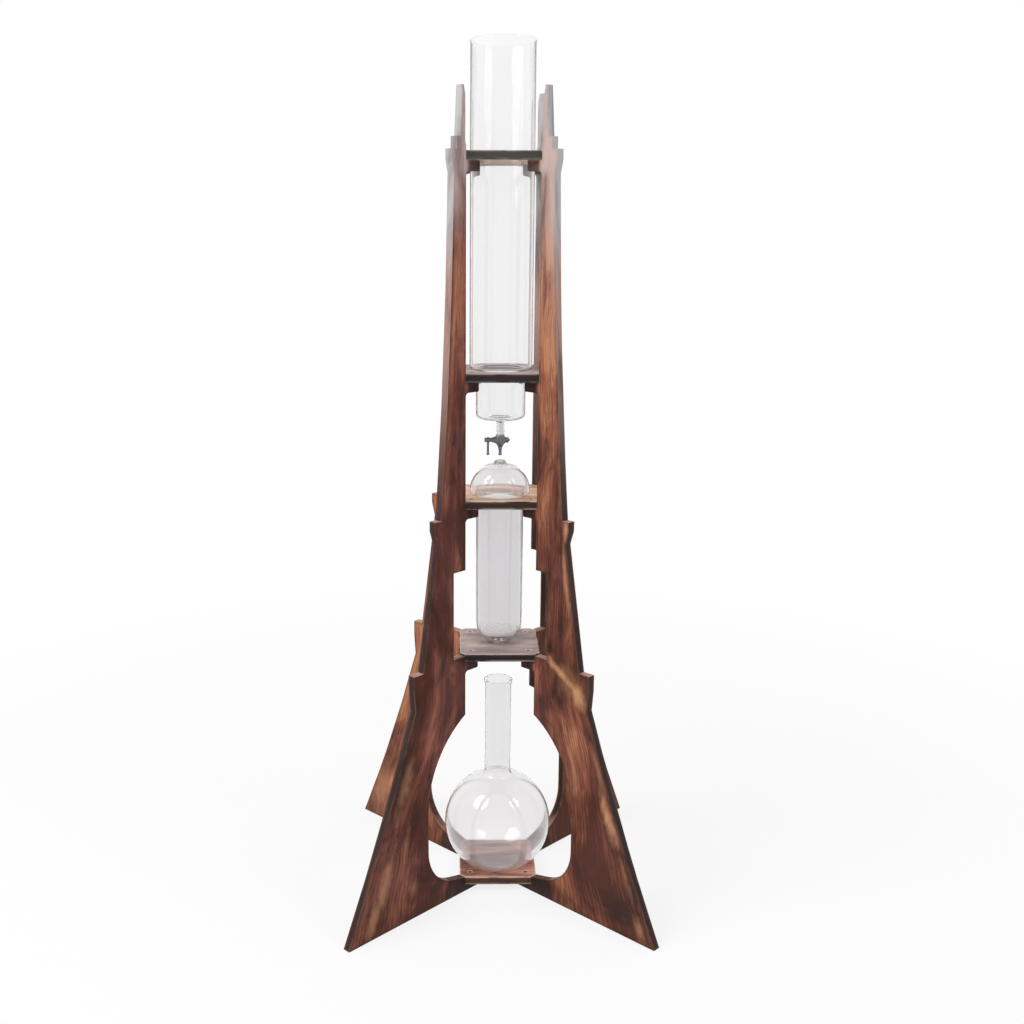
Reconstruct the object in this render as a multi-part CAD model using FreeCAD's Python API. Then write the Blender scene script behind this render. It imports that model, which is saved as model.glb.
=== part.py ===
"""Cold drip coffee tower: four wooden leg boards on the diagonals of a square, five shelves, and the
glass column that they carry.  Millimetres, +Z up, origin on the floor under the tower's axis, front at -Y.

A leg is drawn flat, as a board is sawn: r is the distance from the tower's axis along the leg's
diagonal, z is the height.  Every glass piece is a revolve about the tower's axis."""
import FreeCAD, Part
import math
import os

from FreeCAD import Vector

# ---------------------------------------------------------------- driving dimensions
overall_height = 1110.0      # floor to the water vessel's rim
base_width = 400.0           # over the outer corners of the feet, both ways
board = 11.0                 # thickness of the leg boards and of the shelves

shelf_width = 105.0          # square shelves
leg_inner_r = 69.5           # straight inner edge of a leg, where the shelf's cut corner meets it
tooth_tip_r = 46.0           # how far a leg's teeth reach in under a shelf
tooth_height = 13.0          # depth of a tooth below its shelf
screw_r = 54.0               # screws, on the diagonals

top_shelf_z = 978.0          # top faces of the shelves
vessel_shelf_z = 711.0
chamber_shelf_z = 549.0
drip_shelf_z = 344.0
flask_shelf_z = 20.5

glass_wall = 2.3             # wall of the tubes
fit_gap = 0.3                # glass to wood, where a round piece sits in a seat

vessel_radius = 40.2         # water vessel: main cylinder
cup_radius = 32.0            # water vessel: lower cup, through the vessel shelf
chamber_radius = 31.0        # brew chamber
dome_radius = 39.5           # foot of the dome
bulb_radius = 73.0           # flask
neck_radius = 18.2

screw_shank_r = 1.6
screw_head_r = 3.2
screw_length = 20.0
head_sink = 0.4              # screw heads below the shelf's face
edge_break = 0.8             # small chamfer of the shelves' edges

# ---------------------------------------------------------------- derived places
foot_r = base_width / 2 * math.sqrt(2) - board / 2
half_shelf = shelf_width / 2
shelf_levels = (top_shelf_z, vessel_shelf_z, chamber_shelf_z, drip_shelf_z, flask_shelf_z)
chamber_centre_z = drip_shelf_z + 29.0   # centre of the brew chamber's round bottom
chamber_rim_z = chamber_shelf_z + 5.0
plug_axis_z = 619.0          # axis of the drip valve's plug
nozzle_tip_z = 599.0         # drip tip, just above the dome's boss
stem_end_z = 630.0           # lower end of the vessel's glass stem
stem_bore_r = 3.9
bung_flange = 3.5            # silicone between the glass stem and the metal
bung_bore_r = 1.9            # and the valve's spigot in it
valve_top_z = stem_end_z - bung_flange
cup_bottom_z = 645.0         # outside of the lower cup's shallow cone

axis_up = Vector(0, 0, 1)
leg_turns = {"front_left": 225.0, "front_right": 315.0, "back_left": 135.0, "back_right": 45.0}


# ---------------------------------------------------------------- small helpers
def point(r, z):
    """A point of a profile: r along +X, z up."""
    return Vector(r, 0, z)


def line(start, end):
    return Part.LineSegment(point(*start), point(*end)).toShape()


def arc(start, middle, end):
    return Part.Arc(point(*start), point(*middle), point(*end)).toShape()


def path(start, steps):
    """Edges of a profile.  A step is the next point, or a pair (middle, end) for an arc."""
    edges = []
    here = start
    for step in steps:
        if isinstance(step[0], tuple):
            middle, there = step
            edges.append(arc(here, middle, there))
        else:
            there = step
            edges.append(line(here, there))
        here = there
    return edges


def face_of(start, steps):
    edges = path(start, steps)
    return Part.Face(Part.Wire(edges))


def turned(start, steps):
    """Solid of revolution of a closed profile about the tower's axis."""
    return face_of(start, steps).revolve(Vector(0, 0, 0), axis_up, 360)


def turned_corners(corners):
    """Solid of revolution of a closed profile of corners (r, z), or (r, z, radius) where one is rounded.
    The first corner is sharp."""
    steps = []
    for index, corner in enumerate(corners[1:], start=1):
        if len(corner) == 2:
            steps.append(corner)
            continue
        before = corners[index - 1][:2]
        after = corners[(index + 1) % len(corners)][:2]
        start, middle, end = tangent_round(corner[:2], before, after, corner[2])
        steps += [start, (middle, end)]
    return turned(corners[0], steps + [corners[0]])


def tangent_round(corner, before, after, radius):
    """Start, middle and end of the round of a given radius between two straight edges at a corner."""
    corner_at = point(*corner)
    to_before = (point(*before) - corner_at).normalize()
    to_after = (point(*after) - corner_at).normalize()
    half_angle = to_before.getAngle(to_after) / 2
    reach = radius / math.tan(half_angle)
    centre = corner_at + (to_before + to_after).normalize() * (radius / math.sin(half_angle))
    start = corner_at + to_before * reach
    end = corner_at + to_after * reach
    middle = centre + (corner_at - centre).normalize() * radius
    return [(spot.x, spot.z) for spot in (start, middle, end)]


def export(name, shape):
    shape = shape.removeSplitter() if shape.ShapeType == "Solid" else shape
    if not shape.isValid():
        raise ValueError("invalid shape: " + name)
    shape.exportStep("parts/" + name + ".step")
    print("%-24s %9.1f mm3  %d solid(s)" % (name, shape.Volume, len(shape.Solids)))


def drum(radius, low, high):
    """Upright cylinder on the tower's axis."""
    return Part.makeCylinder(radius, high - low, Vector(0, 0, low))


def crossbar(radius, left, right, z):
    """Cylinder along X at height z."""
    return Part.makeCylinder(radius, right - left, Vector(left, 0, z), Vector(1, 0, 0))


# ---------------------------------------------------------------- wooden legs
platform_z = (336.0, 530.0, 979.0)       # tops of the three stepped platforms, from the feet up
waist_z = (287.5, 500.0, 951.0)          # narrow waist under each platform
waist_r = (158.6, 117.4, 90.0)
platform_r = (161.0, 122.8, 93.6)
platform_face = (21.0, 12.5, 13.0)       # height of a platform's upright face
shoulder_r = (144.5, 112.5, 84.8)        # where the leg goes on above a platform
foot_bow = (209.5, 153.0)                # a point on the bowed outer edge of the foot
shaft_bow = (97.8, 735.0)                # a point on the bowed outer edge of the shaft
collar_top_z = 993.5
spire_root_r = 79.0
spire_tip = (75.2, 1052.0)
spire_inner_r = 71.0
spire_root_z = (984.0, 988.0)            # where the spire's inner edge steps back from the shaft's
spire_bevel_z = 1040.0                   # where the inner edge starts to lean out to the tip
spire_tip_width = 1.5
slot_r = 91.0                            # recess of the inner edge above the drip shelf
slot_low_z = 341.0
slot_high_z = 458.0
flask_cut_r = 138.0                      # round cut about the flask
flask_cut_z = 140.0
arm_round = 60.0                         # round between the cut and the foot's arm
arm_slope = 0.22
tooth_root_round = 5.0
tooth_tip_round = 2.0


def platform_steps(index):
    """Outer edge from a waist over its platform to the shoulder above it."""
    top = platform_z[index]
    face_low = top - platform_face[index]
    return [(platform_r[index], face_low), (platform_r[index], top), (shoulder_r[index], top)]


def tooth_steps(shelf_z):
    """Inner edge under a shelf: in along the tooth's top, down its tip and out again to a rounded root."""
    top = shelf_z - board
    low = top - tooth_height
    tip = (tooth_tip_r, low)
    root = (leg_inner_r, low)
    below_root = (leg_inner_r, low - tooth_height)
    tip_start, tip_middle, tip_end = tangent_round(tip, (tooth_tip_r, top), root, tooth_tip_round)
    start, middle, end = tangent_round(root, tip, below_root, tooth_root_round)
    return [(leg_inner_r, top), (tooth_tip_r, top), tip_start, (tip_middle, tip_end), start, (middle, end)]


def flask_cut_steps():
    """Inner edge round the flask, from the cut's top down to the shelf on the foot's arm."""
    cut_top_z = flask_cut_z + math.sqrt(flask_cut_r ** 2 - leg_inner_r ** 2)
    half_turn = math.atan2(cut_top_z - flask_cut_z, leg_inner_r) / 2
    cut_middle = (flask_cut_r * math.cos(half_turn), flask_cut_z + flask_cut_r * math.sin(half_turn))
    corner = (flask_cut_r, flask_shelf_z + arm_slope * (flask_cut_r - leg_inner_r))
    arm_end = (leg_inner_r, flask_shelf_z)
    cut_side = (flask_cut_r, flask_cut_z)
    start, middle, end = tangent_round(corner, cut_side, arm_end, arm_round)
    return [(leg_inner_r, cut_top_z), (cut_middle, cut_side), start, (middle, end), arm_end]


def leg_outline():
    """The sawn outline of one leg board, round from the outer corner of the foot."""
    steps = [(foot_bow, (waist_r[0], waist_z[0]))]
    steps += platform_steps(0)
    steps.append((waist_r[1], waist_z[1]))
    steps += platform_steps(1)
    steps.append((shaft_bow, (waist_r[2], waist_z[2])))
    steps += platform_steps(2)
    steps += [(shoulder_r[2], collar_top_z), (spire_root_r, collar_top_z), spire_tip]
    steps += [(spire_tip[0] - spire_tip_width, spire_tip[1]), (spire_inner_r, spire_bevel_z)]
    steps += [(spire_inner_r, spire_root_z[1]), (leg_inner_r, spire_root_z[0])]
    steps += tooth_steps(top_shelf_z)
    steps += tooth_steps(vessel_shelf_z)
    steps += tooth_steps(chamber_shelf_z)
    steps += [(leg_inner_r, slot_high_z), (slot_r, slot_high_z)]
    steps += [(slot_r, slot_low_z), (leg_inner_r, slot_low_z)]
    steps += tooth_steps(drip_shelf_z)
    steps += flask_cut_steps()
    steps += [(leg_inner_r, flask_shelf_z - board), (tooth_tip_r, flask_shelf_z - board), (tooth_tip_r, 0)]
    steps.append((foot_r, 0))
    return face_of((foot_r, 0), steps)


def leg_board():
    """One leg board along +X, centred on its thickness, with pilot holes for the shelf screws."""
    blank = leg_outline().extrude(Vector(0, board, 0))
    blank.translate(Vector(0, -board / 2, 0))
    for shelf_z in shelf_levels:
        pilot = Part.makeCylinder(screw_shank_r, screw_length, Vector(screw_r, 0, shelf_z - screw_length))
        blank = blank.cut(pilot)
    return blank


def make_legs():
    pattern = leg_board()
    for place, turn in leg_turns.items():
        leg = pattern.copy()
        leg.rotate(Vector(0, 0, 0), axis_up, turn)
        export("leg_" + place, leg)


# ---------------------------------------------------------------- shelves and their screws
top_hole_r = vessel_radius + 2.0         # steadies the vessel, and lets it pass
cup_hole_r = cup_radius + 1.2            # the vessel stands on the rim of this hole
mouth_hole_r = chamber_radius + 1.5
drip_hole_r = 11.0


def screw_places():
    reach = screw_r / math.sqrt(2)
    return [(x, y) for x in (-reach, reach) for y in (-reach, reach)]


def shelf_blank(top_z):
    """Square shelf with its corners cut to meet the legs, eased top edges and countersunk screw holes."""
    cut = shelf_width - leg_inner_r * math.sqrt(2)
    inner = half_shelf - cut
    corners = [(half_shelf, inner), (inner, half_shelf), (-inner, half_shelf), (-half_shelf, inner),
               (-half_shelf, -inner), (-inner, -half_shelf), (inner, -half_shelf), (half_shelf, -inner)]
    outline = Part.makePolygon([Vector(x, y, top_z - board) for x, y in corners + corners[:1]])
    shelf = Part.Face(outline).extrude(Vector(0, 0, board))
    rim = [edge for edge in shelf.Edges if edge.BoundBox.ZMin > top_z - 0.1]
    shelf = shelf.makeChamfer(edge_break, rim)
    head_top = top_z - head_sink
    head_height = screw_head_r - screw_shank_r
    for x, y in screw_places():
        hole = Part.makeCylinder(screw_shank_r, board, Vector(x, y, top_z - board))
        cone_foot = Vector(x, y, head_top - head_height)
        cone = Part.makeCone(screw_shank_r, screw_head_r, head_height, cone_foot)
        recess = Part.makeCylinder(screw_head_r, head_sink, Vector(x, y, head_top))
        shelf = shelf.cut([hole, cone, recess])
    return shelf


def bored_shelf(top_z, radius):
    """Shelf with a round hole on the tower's axis, its two rims slightly broken."""
    shelf = shelf_blank(top_z).cut(drum(radius, top_z - board, top_z))
    rims = [edge for edge in shelf.Edges if isinstance(edge.Curve, Part.Circle)
            and abs(edge.Curve.Radius - radius) < 0.01]
    return shelf.makeChamfer(edge_break, rims)


def drip_shelf():
    """The drip shelf's hole opens upward in a round seat for the chamber's bottom."""
    hole = drum(drip_hole_r, drip_shelf_z - board, drip_shelf_z)
    seat = Part.makeSphere(chamber_radius + fit_gap, Vector(0, 0, chamber_centre_z))
    return shelf_blank(drip_shelf_z).cut([hole, seat])


def shelf_screw(x, y, top_z):
    """Countersunk wood screw with a cross recess, its head just under the shelf's face."""
    clearance = 0.05
    shank_r = screw_shank_r - clearance
    head_r = screw_head_r - clearance
    head_top = top_z - head_sink
    head_low = head_top - (head_r - shank_r)
    tip_z = top_z - screw_length
    tip_height = 4.0
    tip_r = 0.3
    tip = Part.makeCone(tip_r, shank_r, tip_height, Vector(0, 0, tip_z))
    shank = Part.makeCylinder(shank_r, head_low - tip_z - tip_height, Vector(0, 0, tip_z + tip_height))
    head = Part.makeCone(shank_r, head_r, head_top - head_low, Vector(0, 0, head_low))
    screw = shank.fuse([tip, head])
    cross_length = 3.4
    cross_width = 0.8
    cross_depth = 1.0
    for turn in (45, 135):
        corner = Vector(-cross_length / 2, -cross_width / 2, head_top - cross_depth)
        slot = Part.makeBox(cross_length, cross_width, cross_depth, corner)
        slot.rotate(Vector(0, 0, 0), axis_up, turn)
        screw = screw.cut(slot)
    screw = screw.removeSplitter()
    screw.translate(Vector(x, y, 0))
    return screw


def make_shelves():
    shelves = {
        "top_shelf": (top_shelf_z, bored_shelf(top_shelf_z, top_hole_r)),
        "vessel_shelf": (vessel_shelf_z, bored_shelf(vessel_shelf_z, cup_hole_r)),
        "chamber_shelf": (chamber_shelf_z, bored_shelf(chamber_shelf_z, mouth_hole_r)),
        "drip_shelf": (drip_shelf_z, drip_shelf()),
        "flask_shelf": (flask_shelf_z, shelf_blank(flask_shelf_z)),
    }
    for name, (top_z, shelf) in shelves.items():
        export(name, shelf)
        screws = [shelf_screw(x, y, top_z) for x, y in screw_places()]
        export(name + "_screws", Part.makeCompound(screws))


# ---------------------------------------------------------------- water vessel
def water_vessel():
    """Open cylinder that stands on its shoulder, a narrower cup below it, a shallow cone and a stem."""
    rim_z = overall_height
    bead_r = vessel_radius + 0.9
    bead_low_z = rim_z - 3.6
    shoulder_z = vessel_shelf_z
    cone_z = cup_bottom_z + 2.5
    stem_r = 5.7
    inner_r = vessel_radius - glass_wall
    cup_inner_r = cup_radius - glass_wall
    outside = [
        (bead_r, rim_z, 1.5),
        (bead_r, bead_low_z, 1.2),
        (vessel_radius, bead_low_z - 1.5, 1.5),
        (vessel_radius, shoulder_z, 4.0),
        (cup_radius, shoulder_z, 0.8),
        (cup_radius, cone_z, 7.0),
        (stem_r, cup_bottom_z, 3.0),
        (stem_r, stem_end_z),
    ]
    inside = [
        (stem_bore_r, stem_end_z),
        (stem_bore_r, cup_bottom_z + glass_wall, 1.0),
        (cup_inner_r, cone_z + glass_wall, 5.0),
        (cup_inner_r, shoulder_z + glass_wall, 1.5),
        (inner_r, shoulder_z + glass_wall, 2.5),
        (inner_r, rim_z, 1.5),
    ]
    wall_middle = (vessel_radius - glass_wall / 2, rim_z)
    return turned_corners([wall_middle] + outside + inside)


def stem_bung():
    """Silicone bung: a flange between glass and metal, and a sleeve up inside the glass stem."""
    flange_r = 5.2
    sleeve_top_z = stem_end_z + 12.0
    return turned_corners([
        (bung_bore_r, valve_top_z),
        (flange_r, valve_top_z, 0.5),
        (flange_r, stem_end_z, 0.5),
        (stem_bore_r, stem_end_z),
        (stem_bore_r - 0.2, sleeve_top_z),
        (bung_bore_r, sleeve_top_z),
    ])


# ---------------------------------------------------------------- drip valve
plug_low_x = -7.5            # left end of the plug's taper, where its collar starts
plug_high_x = 6.5
plug_large_r = 3.2
plug_small_r = 2.7
running_gap = 0.05
pin_r = 1.5                  # the lever
lever_x = -15.9
stub_r = 1.6                 # the plug's right end, which carries the washer and the nut
stub_end_x = 12.4
washer_end_x = 7.4
nut_end_x = 10.8


def plug_taper(gap):
    """The plug's tapered stretch, or with a gap the bore that it turns in."""
    left_end = Vector(plug_low_x, 0, plug_axis_z)
    length = plug_high_x - plug_low_x
    return Part.makeCone(plug_large_r + gap, plug_small_r + gap, length, left_end, Vector(1, 0, 0))


def valve_body():
    """Plump turned body on a spigot, a cross barrel for the plug, and a fine nozzle with a beaded tip."""
    spigot_z = stem_end_z + 14.0
    shoulder_r = 5.0
    belly_r = 6.4
    throat = (4.7, plug_axis_z - 6.2)
    nozzle_root = (2.3, plug_axis_z - 12.0)
    nozzle_end = (1.8, nozzle_tip_z + 3.0)
    tip_r = 1.7
    steps = [
        (shoulder_r, valve_top_z),
        ((belly_r, plug_axis_z), throat),
        ((3.2, plug_axis_z - 8.7), nozzle_root),
        nozzle_end,
        ((2.4, nozzle_tip_z + 1.4), (tip_r, nozzle_tip_z)),
        (0, nozzle_tip_z),
        (0, spigot_z),
        (bung_bore_r, spigot_z),
        (bung_bore_r, valve_top_z),
    ]
    barrel_r = 4.7
    waterway_r = 1.1
    body = turned((bung_bore_r, valve_top_z), steps)
    body = body.fuse(crossbar(barrel_r, plug_low_x + running_gap, plug_high_x, plug_axis_z))
    waterway = drum(waterway_r, nozzle_tip_z, spigot_z)
    return body.cut([plug_taper(running_gap), waterway]).removeSplitter()


def valve_plug():
    """Plug turned in one piece: a grooved head for the lever, a neck, a collar, the taper with its
    waterway, and a stub for the washer and nut."""
    head_low_x = -20.5
    neck_low_x = -11.6
    collar_low_x = -10.8
    head_r = 3.0
    head_ease = 0.5
    collar_r = 3.6
    waterway_r = 1.0
    stub_ease = 0.4
    neck_r = head_r - head_ease
    groove_width = 0.7
    groove_r = head_r - 0.35
    steps = [(neck_r, head_low_x), (head_r, head_low_x + head_ease)]
    for groove_x in (-19.3, -18.1, -13.7):
        groove_end_x = groove_x + groove_width
        steps += [(head_r, groove_x), (groove_r, groove_x), (groove_r, groove_end_x), (head_r, groove_end_x)]
    steps += [
        (head_r, neck_low_x - head_ease),
        (neck_r, neck_low_x),
        (neck_r, collar_low_x),
        (collar_r, collar_low_x),
        (collar_r, plug_low_x),
        (plug_large_r, plug_low_x),
        (plug_small_r, plug_high_x),
        (stub_r, plug_high_x),
        (stub_r, stub_end_x - stub_ease),
        (stub_r - stub_ease, stub_end_x),
        (0, stub_end_x),
        (0, head_low_x),
    ]
    plug = turned((0, head_low_x), steps)
    plug.rotate(Vector(0, 0, 0), axis_up, 90)
    plug.rotate(Vector(0, 0, 0), Vector(0, 1, 0), 90)
    plug.translate(Vector(0, 0, plug_axis_z))
    waterway = drum(waterway_r, plug_axis_z - collar_r, plug_axis_z + collar_r)
    pin_hole = Part.makeCylinder(pin_r, 2 * collar_r, Vector(lever_x, 0, plug_axis_z - collar_r))
    return plug.cut([waterway, pin_hole])


def valve_lever():
    """Pin pressed through the plug's head, with a round knob at its lower end."""
    knob_z = plug_axis_z - 18.2
    pin_top_z = plug_axis_z + 3.4
    knob_r = 2.1
    pin = Part.makeCylinder(pin_r, pin_top_z - knob_z, Vector(lever_x, 0, knob_z))
    knob = Part.makeSphere(knob_r, Vector(lever_x, 0, knob_z))
    return pin.fuse(knob).removeSplitter()


def valve_washer():
    washer_r = 3.4
    ring = crossbar(washer_r, plug_high_x + running_gap, washer_end_x, plug_axis_z)
    return ring.cut(crossbar(stub_r, plug_high_x, stub_end_x, plug_axis_z))


def valve_nut():
    """Hexagon nut on the plug's stub, with its outer corners turned down."""
    corner_r = 3.9
    height = nut_end_x - washer_end_x
    corners = []
    for index in range(7):
        turn = math.radians(60 * index)
        up = corner_r * math.sin(turn)
        corners.append(Vector(washer_end_x, corner_r * math.cos(turn), plug_axis_z + up))
    nut = Part.Face(Part.makePolygon(corners)).extrude(Vector(height, 0, 0))
    face_r = corner_r - 0.6
    left_end = Vector(washer_end_x, 0, plug_axis_z)
    turned_down = Part.makeCone(face_r + height / 2, face_r, height, left_end, Vector(1, 0, 0))
    nut = nut.common(turned_down)
    return nut.cut(crossbar(stub_r, plug_high_x, stub_end_x, plug_axis_z)).removeSplitter()


# ---------------------------------------------------------------- dome, brew chamber and filter
def dome_cover():
    """Glass dome: a rounded shell on a plain foot, with a low boss and a drip hole at its top."""
    foot_z = chamber_shelf_z
    wall = 2.2
    crown_z = foot_z + 37.0
    boss_z = foot_z + 44.0
    hole_r = 2.6
    foot_ease = 0.8
    foot_inner_r = dome_radius - wall
    outside = [
        ((36.6, foot_z + 17.5), (28.0, foot_z + 29.5)),
        ((20.5, foot_z + 35.4), (10.5, crown_z)),
        ((8.9, crown_z + 0.6), (8.4, crown_z + 2.4)),
        ((6.8, boss_z - 1.3), (3.2, boss_z)),
        (hole_r, boss_z - 0.6),
    ]
    inside = [
        (hole_r, crown_z - wall),
        ((18.9, foot_z + 33.4), (26.4, foot_z + 27.8)),
        ((34.4, foot_z + 16.7), (foot_inner_r, foot_z + foot_ease)),
        (foot_inner_r + foot_ease, foot_z),
        (dome_radius, foot_z),
    ]
    return turned((dome_radius, foot_z), outside + inside)


def brew_chamber():
    """Straight glass tube with a round bottom that narrows into a drip nipple."""
    inner_r = chamber_radius - glass_wall
    nipple_r = 8.0
    nipple_tip_r = 5.0
    bore_r = 3.0
    tip_z = drip_shelf_z - 23.0
    outer_drop = math.sqrt(chamber_radius ** 2 - nipple_r ** 2)
    inner_drop = math.sqrt(inner_r ** 2 - bore_r ** 2)
    diagonal = math.sqrt(0.5)
    outer_middle = (chamber_radius * diagonal, chamber_centre_z - chamber_radius * diagonal)
    inner_middle = (inner_r * diagonal, chamber_centre_z - inner_r * diagonal)
    rim_crown = (chamber_radius - glass_wall / 2, chamber_rim_z + glass_wall / 2)
    steps = [
        (rim_crown, (chamber_radius, chamber_rim_z)),
        (chamber_radius, chamber_centre_z),
        (outer_middle, (nipple_r, chamber_centre_z - outer_drop)),
        (nipple_r, drip_shelf_z - board),
        (nipple_tip_r, tip_z),
        (bore_r, tip_z),
        (bore_r, chamber_centre_z - inner_drop),
        (inner_middle, (inner_r, chamber_centre_z)),
        (inner_r, chamber_rim_z),
    ]
    return turned((inner_r, chamber_rim_z), steps)


def filter_disc():
    """Perforated ceramic disc that rests in the chamber's round bottom."""
    radius = 24.5
    thickness = 4.0
    hole_r = 1.5
    rings = ((0, 1), (8.5, 6), (17.0, 12))     # radius of a ring of holes, and how many
    seat_r = chamber_radius - glass_wall - fit_gap
    low_z = chamber_centre_z - math.sqrt(seat_r ** 2 - radius ** 2)
    disc = drum(radius, low_z, low_z + thickness)
    upper_rim = [edge for edge in disc.Edges if edge.BoundBox.ZMin > low_z + thickness - 0.1]
    disc = disc.makeChamfer(0.6, upper_rim)
    holes = []
    for ring_r, count in rings:
        for index in range(count):
            turn = 2 * math.pi * index / count
            spot = Vector(ring_r * math.cos(turn), ring_r * math.sin(turn), low_z)
            holes.append(Part.makeCylinder(hole_r, thickness, spot))
    return disc.cut(holes)


# ---------------------------------------------------------------- flask
bulb_centre_z = flask_shelf_z + 60.0
flask_rim_z = 290.0
flask_wall = 2.0
neck_fillet = 9.0


def neck_blend(radius, neck):
    """The concave round between a bulb and a neck: where it leaves the bulb, its middle, the neck."""
    centre_r = neck + neck_fillet
    rise = math.sqrt((radius + neck_fillet) ** 2 - centre_r ** 2)
    scale = radius / (radius + neck_fillet)
    half_turn = math.atan2(rise, centre_r) / 2
    on_bulb = (centre_r * scale, bulb_centre_z + rise * scale)
    middle_r = centre_r - neck_fillet * math.cos(half_turn)
    middle_z = bulb_centre_z + rise - neck_fillet * math.sin(half_turn)
    on_neck = (neck, bulb_centre_z + rise)
    return on_bulb, (middle_r, middle_z), on_neck


def heel_blend(radius, floor_z, heel):
    """The round between the flat bottom and a bulb: where it leaves the bottom, its middle, the bulb."""
    drop = bulb_centre_z - floor_z - heel
    centre_r = math.sqrt((radius - heel) ** 2 - drop ** 2)
    scale = radius / (radius - heel)
    half_turn = math.atan2(centre_r, drop) / 2
    middle_r = centre_r + heel * math.sin(half_turn)
    middle_z = floor_z + heel - heel * math.cos(half_turn)
    on_bulb = (centre_r * scale, bulb_centre_z - drop * scale)
    return (centre_r, floor_z), (middle_r, middle_z), on_bulb


def coffee_flask():
    """Flat bottomed round flask with a long straight neck and a low bead at its rim."""
    heel = 6.0
    bead_r = neck_radius + 1.2
    bead_low_z = flask_rim_z - 4.0
    neck_inner = neck_radius - flask_wall
    bulb_inner = bulb_radius - flask_wall
    floor_top_z = flask_shelf_z + flask_wall
    outer_bulb, outer_middle, outer_neck = neck_blend(bulb_radius, neck_radius)
    inner_bulb, inner_middle, inner_neck = neck_blend(bulb_inner, neck_inner)
    outer_flat, outer_heel, outer_side = heel_blend(bulb_radius, flask_shelf_z, heel)
    inner_flat, inner_heel, inner_side = heel_blend(bulb_inner, floor_top_z, heel - flask_wall)
    bead_top = tangent_round((bead_r, flask_rim_z), (bead_r, bead_low_z), (neck_inner, flask_rim_z), 1.5)
    lip = tangent_round((neck_inner, flask_rim_z), (bead_r, flask_rim_z), inner_neck, 1.2)
    steps = [
        (neck_radius, bead_low_z - 2.5),
        (bead_r, bead_low_z),
        bead_top[0],
        (bead_top[1], bead_top[2]),
        lip[0],
        (lip[1], lip[2]),
        inner_neck,
        (inner_middle, inner_bulb),
        ((bulb_inner, bulb_centre_z), inner_side),
        (inner_heel, inner_flat),
        (0, floor_top_z),
        (0, flask_shelf_z),
        outer_flat,
        (outer_heel, outer_side),
        ((bulb_radius, bulb_centre_z), outer_bulb),
        (outer_middle, outer_neck),
    ]
    return turned(outer_neck, steps)


# ---------------------------------------------------------------- build
os.makedirs("parts", exist_ok=True)
make_legs()
make_shelves()
export("water_vessel", water_vessel())
export("stem_bung", stem_bung())
export("valve_body", valve_body())
export("valve_plug", valve_plug())
export("valve_lever", valve_lever())
export("valve_washer", valve_washer())
export("valve_nut", valve_nut())
export("dome_cover", dome_cover())
export("brew_chamber", brew_chamber())
export("filter_disc", filter_disc())
export("coffee_flask", coffee_flask())
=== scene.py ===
# %% [markdown]
# # A cold drip coffee tower
#
# The tower is four scorched pine boards that stand upright on the diagonals of a square, five small
# shelves between them, and a column of glass down the middle.  This lesson dresses it: the boards get
# softened edges and a torched grain, the glass is spun from drawn profiles, and the little drip valve
# gets its dark metal.  Lengths are metres, +Z is up and -Y is the front.

import math

import bmesh
import bpy
from mathutils import Matrix, Vector


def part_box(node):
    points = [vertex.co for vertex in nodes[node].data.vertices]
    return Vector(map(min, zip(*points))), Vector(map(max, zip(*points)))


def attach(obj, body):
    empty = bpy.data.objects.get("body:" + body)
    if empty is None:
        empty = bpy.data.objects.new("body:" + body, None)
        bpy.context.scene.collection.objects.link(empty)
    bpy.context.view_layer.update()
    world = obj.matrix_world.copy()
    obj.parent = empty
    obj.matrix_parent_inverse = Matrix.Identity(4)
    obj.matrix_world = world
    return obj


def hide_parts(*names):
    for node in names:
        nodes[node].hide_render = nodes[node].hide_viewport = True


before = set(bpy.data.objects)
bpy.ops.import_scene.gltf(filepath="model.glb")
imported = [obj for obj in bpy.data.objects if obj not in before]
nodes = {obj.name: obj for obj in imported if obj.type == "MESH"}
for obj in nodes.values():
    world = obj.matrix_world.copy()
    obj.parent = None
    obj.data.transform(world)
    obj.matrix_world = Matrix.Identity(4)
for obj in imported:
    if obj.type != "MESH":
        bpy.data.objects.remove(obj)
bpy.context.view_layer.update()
MM = 0.001

# %% [markdown]
# ## The camera
#
# The tower is seen from the front, a little to the left, with the lens two hands below its top and tipped
# down.  A tall thing could also be seen level, through a lens shifted upwards, which keeps its uprights
# parallel, but here they lean together slightly, so the whole camera is tilted.  A small shift of the lens
# then moves the tower in the frame without turning the camera.  Turning a matrix step by step (heading,
# tilt, roll) is easier to read than three Euler angles.

# %% Camera
camera_place = (-0.0586, -1.5912, 0.8980)
camera_heading = math.radians(-0.71)
camera_tilt = math.radians(90 - 13.57)
camera_roll = math.radians(0.14)

scene = bpy.context.scene
camera_data = bpy.data.cameras.new("camera")
camera_data.sensor_width = 36.0
camera_data.lens = 43.62
camera_data.shift_x = 0.0409
camera_data.shift_y = 0.0063
camera = bpy.data.objects.new("camera", camera_data)
scene.collection.objects.link(camera)
camera.matrix_world = (
    Matrix.Translation(camera_place)
    @ Matrix.Rotation(camera_heading, 4, "Z")
    @ Matrix.Rotation(camera_tilt, 4, "X")
    @ Matrix.Rotation(camera_roll, 4, "Z")
)
scene.camera = camera
scene.view_settings.view_transform = "Standard"
print("camera at", camera_place)

# %% [markdown]
# ## Helpers for node trees
#
# A material is a small graph.  Written out socket by socket it fills pages, so these helpers add a node,
# set its options and feed its inputs in one line each.  An input can be a plain value or the output
# socket of another node, and a node that is fed by a socket goes into the tree of that socket.

# %% Node helpers
def feed(socket, value):
    """Links the output of another node to a socket, or sets the socket to a value or a colour."""
    if isinstance(value, bpy.types.NodeSocket):
        socket.id_data.links.new(value, socket)
    elif socket.type == "RGBA":
        socket.default_value = (*value, 1.0)
    else:
        socket.default_value = value


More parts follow.
